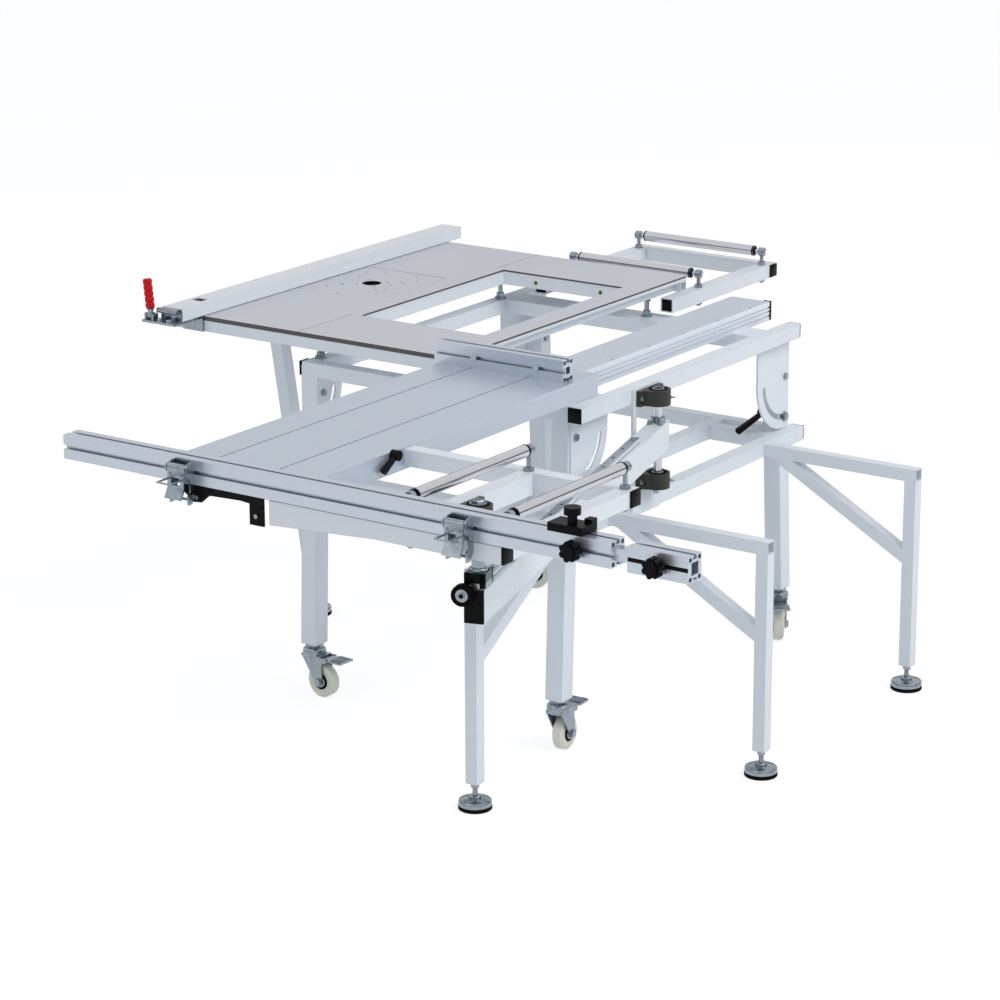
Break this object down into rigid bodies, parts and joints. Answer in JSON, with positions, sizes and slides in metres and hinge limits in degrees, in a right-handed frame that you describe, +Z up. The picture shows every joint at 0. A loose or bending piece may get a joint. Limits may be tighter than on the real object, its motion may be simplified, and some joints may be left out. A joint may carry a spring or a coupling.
{
  "type": "sliding table saw",
  "caption": "Sliding table saw bench on a white tube stand with casters, cut-out table, rip fence, sliding table, crosscut frame and fence, and a swing arm.",
  "frame": {"origin": "on the floor under the middle of the whole bench", "axes": "+X towards the crosscut side, +Y along the sliding table's travel, +Z up"},
  "size_m": [2.16, 2.594, 1.0073],
  "materials": {
    "white": "bluish white powder coat, satin",
    "zinc": "bright zinc plate",
    "black": "black moulded plastic",
    "ivory": "ivory nylon",
    "table": "taupe grey stove enamel, matt",
    "red": "red moulded plastic",
    "chrome": "bright chrome plate",
    "alu": "silver anodised, fine drawn lines",
    "iron": "olive grey hammer paint on cast iron",
    "rubber": "black rubber"
  },
  "bodies": {
    "stand": {"upper_frame": "white", "lower_frame": "white", "front_legs": "white", "rear_legs": "white", "fold_bolts": "zinc", "caster_heads": "zinc", "outriggers": "white", "side_leg": "white", "table_top": "table", "router_insert": "table", "table_frame": "white", "support_screws": "zinc", "rear_frame": "white", "slide_rail": "alu", "rail_stop": "black", "bearing_blocks": "iron"},
    "slide": {"sliding_table": "alu", "slide_bearings": "zinc", "clamp_profile": "alu", "cross_frame": "white", "cross_roller_stands": "zinc", "pivot_bearing": "iron", "crosscut_fence": "alu", "stop_carriers": "zinc"},
    "swing_arm": {"swing_shaft": "chrome", "swing_arm": "white", "arm_bracket": "black"},
    "rip_fence": {"rip_fence": "white", "rip_clamp": "zinc"},
    "arm_carriage": {"arm_carriage": "zinc"},
    "arm_wheel": {"arm_wheel": "rubber"},
    "caster_fork_front_left": {"caster_fork_front_left": "zinc"},
    "caster_wheel_front_left": {"caster_wheel_front_left": "ivory"},
    "caster_pedal_front_left": {"caster_pedal_front_left": "zinc"},
    "caster_fork_front_right": {"caster_fork_front_right": "zinc"},
    "caster_wheel_front_right": {"caster_wheel_front_right": "ivory"},
    "caster_pedal_front_right": {"caster_pedal_front_right": "zinc"},
    "caster_fork_rear_left": {"caster_fork_rear_left": "zinc"},
    "caster_wheel_rear_left": {"caster_wheel_rear_left": "ivory"},
    "caster_pedal_rear_left": {"caster_pedal_rear_left": "zinc"},
    "caster_fork_rear_right": {"caster_fork_rear_right": "zinc"},
    "caster_wheel_rear_right": {"caster_wheel_rear_right": "ivory"},
    "caster_pedal_rear_right": {"caster_pedal_rear_right": "zinc"},
    "foot_front": {"foot_front": "zinc"},
    "foot_middle": {"foot_middle": "zinc"},
    "foot_rear": {"foot_rear": "zinc"},
    "foot_side": {"foot_side": "zinc"},
    "leg_lever": {"leg_lever": "black"},
    "rip_handle": {"rip_handle": "red"},
    "rear_roller_near": {"rear_roller_near": "chrome"},
    "rear_roller_far": {"rear_roller_far": "chrome"},
    "cross_roller_inner": {"cross_roller_inner": "chrome"},
    "cross_roller_outer": {"cross_roller_outer": "chrome"},
    "cross_lever": {"cross_lever": "black"},
    "fence_extension": {"fence_extension": "alu"},
    "fence_knob": {"fence_knob": "black"},
    "extension_knob": {"extension_knob": "black"},
    "stop_block": {"stop_block": "black"},
    "flip_stop_left": {"flip_stop_left": "zinc"},
    "flip_stop_right": {"flip_stop_right": "zinc"}
  },
  "joints": [
    {"name": "slide_travel", "type": "slide", "parent": "stand", "child": "slide", "axis": [0, 1, 0], "range_m": [0, 0.9]},
    {"name": "arm_swing", "type": "hinge", "parent": "stand", "child": "swing_arm", "pos_m": [0.123, 0.207, 0.7], "axis": [0, 0, 1], "range_deg": [-2, 34]},
    {"name": "arm_carriage_travel", "type": "slide", "parent": "swing_arm", "child": "arm_carriage", "axis": [0.2779, -0.9606, 0], "range_m": [-0.82, 0]},
    {"name": "arm_wheel_spin", "type": "hinge", "parent": "swing_arm", "child": "arm_wheel", "pos_m": [0.46513, -1.04738, 0.73], "axis": [0.2779, -0.9606, 0], "continuous": true},
    {"name": "caster_swivel_front_left", "type": "hinge", "parent": "stand", "child": "caster_fork_front_left", "pos_m": [-0.6745, -0.0615, 0.105], "axis": [0, 0, 1], "continuous": true},
    {"name": "caster_roll_front_left", "type": "hinge", "parent": "caster_fork_front_left", "child": "caster_wheel_front_left", "pos_m": [-0.64654, -0.06297, 0.04], "axis": [0.0523, 0.9986, 0], "continuous": true},
    {"name": "brake_pedal_front_left", "type": "hinge", "parent": "caster_fork_front_left", "child": "caster_pedal_front_left", "pos_m": [-0.62856, -0.06391, 0.0963], "axis": [0.0523, 0.9986, 0], "range_deg": [0, 12]},
    {"name": "caster_swivel_front_right", "type": "hinge", "parent": "stand", "child": "caster_fork_front_right", "pos_m": [0.0305, -0.0615, 0.105], "axis": [0, 0, 1], "continuous": true},
    {"name": "caster_roll_front_right", "type": "hinge", "parent": "caster_fork_front_right", "child": "caster_wheel_front_right", "pos_m": [0.02806, -0.03361, 0.04], "axis": [-0.9962, -0.0872, 0], "continuous": true},
    {"name": "brake_pedal_front_right", "type": "hinge", "parent": "caster_fork_front_right", "child": "caster_pedal_front_right", "pos_m": [0.02649, -0.01568, 0.0963], "axis": [-0.9962, -0.0872, 0], "range_deg": [0, 12]},
    {"name": "caster_swivel_rear_left", "type": "hinge", "parent": "stand", "child": "caster_fork_rear_left", "pos_m": [-0.6745, 0.9355, 0.105], "axis": [0, 0, 1], "continuous": true},
    {"name": "caster_roll_rear_left", "type": "hinge", "parent": "caster_fork_rear_left", "child": "caster_wheel_rear_left", "pos_m": [-0.69744, 0.91944, 0.04], "axis": [0.5736, -0.8192, 0], "continuous": true},
    {"name": "brake_pedal_rear_left", "type": "hinge", "parent": "caster_fork_rear_left", "child": "caster_pedal_rear_left", "pos_m": [-0.71218, 0.90912, 0.0963], "axis": [0.5736, -0.8192, 0], "range_deg": [0, 12]},
    {"name": "caster_swivel_rear_right", "type": "hinge", "parent": "stand", "child": "caster_fork_rear_right", "pos_m": [0.0305, 0.9355, 0.105], "axis": [0, 0, 1], "continuous": true},
    {"name": "caster_roll_rear_right", "type": "hinge", "parent": "caster_fork_rear_right", "child": "caster_wheel_rear_right", "pos_m": [0.04656, 0.91256, 0.04], "axis": [0.8192, 0.5736, 0], "continuous": true},
    {"name": "brake_pedal_rear_right", "type": "hinge", "parent": "caster_fork_rear_right", "child": "caster_pedal_rear_right", "pos_m": [0.05688, 0.89782, 0.0963], "axis": [0.8192, 0.5736, 0], "range_deg": [0, 12]},
    {"name": "foot_level_front", "type": "slide", "parent": "stand", "child": "foot_front", "axis": [0, 0, 1], "range_m": [-0.03, 0]},
    {"name": "foot_level_middle", "type": "slide", "parent": "stand", "child": "foot_middle", "axis": [0, 0, 1], "range_m": [-0.03, 0]},
    {"name": "foot_level_rear", "type": "slide", "parent": "stand", "child": "foot_rear", "axis": [0, 0, 1], "range_m": [-0.03, 0]},
    {"name": "foot_level_side", "type": "slide", "parent": "stand", "child": "foot_side", "axis": [0, 0, 1], "range_m": [-0.03, 0]},
    {"name": "leg_lever_turn", "type": "hinge", "parent": "stand", "child": "leg_lever", "pos_m": [-0.007, 0.90147, 0.587], "axis": [1, 0, 0], "range_deg": [-90, 0]},
    {"name": "rip_fence_travel", "type": "slide", "parent": "stand", "child": "rip_fence", "axis": [1, 0, 0], "range_m": [-0.05, 0.25]},
    {"name": "rip_handle_tip", "type": "hinge", "parent": "rip_fence", "child": "rip_handle", "pos_m": [-1.026, -0.21, 0.9195], "axis": [1, 0, 0], "range_deg": [0, 80]},
    {"name": "rear_roller_spin_near", "type": "hinge", "parent": "stand", "child": "rear_roller_near", "pos_m": [-0.404, 0.94, 0.905], "axis": [1, 0, 0], "continuous": true},
    {"name": "rear_roller_spin_far", "type": "hinge", "parent": "stand", "child": "rear_roller_far", "pos_m": [-0.404, 1.252, 0.905], "axis": [1, 0, 0], "continuous": true},
    {"name": "cross_roller_spin_inner", "type": "hinge", "parent": "slide", "child": "cross_roller_inner", "pos_m": [0.4285, -0.969, 0.949], "axis": [0, 1, 0], "continuous": true},
    {"name": "cross_roller_spin_outer", "type": "hinge", "parent": "slide", "child": "cross_roller_outer", "pos_m": [0.6555, -0.969, 0.949], "axis": [0, 1, 0], "continuous": true},
    {"name": "cross_lever_turn", "type": "hinge", "parent": "slide", "child": "cross_lever", "pos_m": [0.138, -0.82, 0.903], "axis": [1, 0, 0], "range_deg": [-90, 0]},
    {"name": "fence_extension_travel", "type": "slide", "parent": "slide", "child": "fence_extension", "axis": [1, 0, 0], "range_m": [-0.03, 0.3]},
    {"name": "fence_knob_turn", "type": "hinge", "parent": "slide", "child": "fence_knob", "pos_m": [0.842, -1.243, 0.934], "axis": [0, 1, 0], "continuous": true},
    {"name": "extension_knob_turn", "type": "hinge", "parent": "fence_extension", "child": "extension_knob", "pos_m": [1.018, -1.243, 0.934], "axis": [0, 1, 0], "continuous": true},
    {"name": "stop_block_travel", "type": "slide", "parent": "slide", "child": "stop_block", "axis": [1, 0, 0], "range_m": [-0.6, 0.05]},
    {"name": "flip_stop_swing_left", "type": "hinge", "parent": "slide", "child": "flip_stop_left", "pos_m": [-0.073, -1.252, 0.946], "axis": [1, 0, 0], "range_deg": [-150, 0]},
    {"name": "flip_stop_swing_right", "type": "hinge", "parent": "slide", "child": "flip_stop_right", "pos_m": [0.592, -1.252, 0.946], "axis": [1, 0, 0], "range_deg": [-150, 0]}
  ],
  "couplings": [
    {"joint": "arm_swing", "follows": "slide_travel", "rad_per_m": 0.61416},
    {"joint": "arm_carriage_travel", "follows": "slide_travel", "ratio": -0.88176}
  ]
}
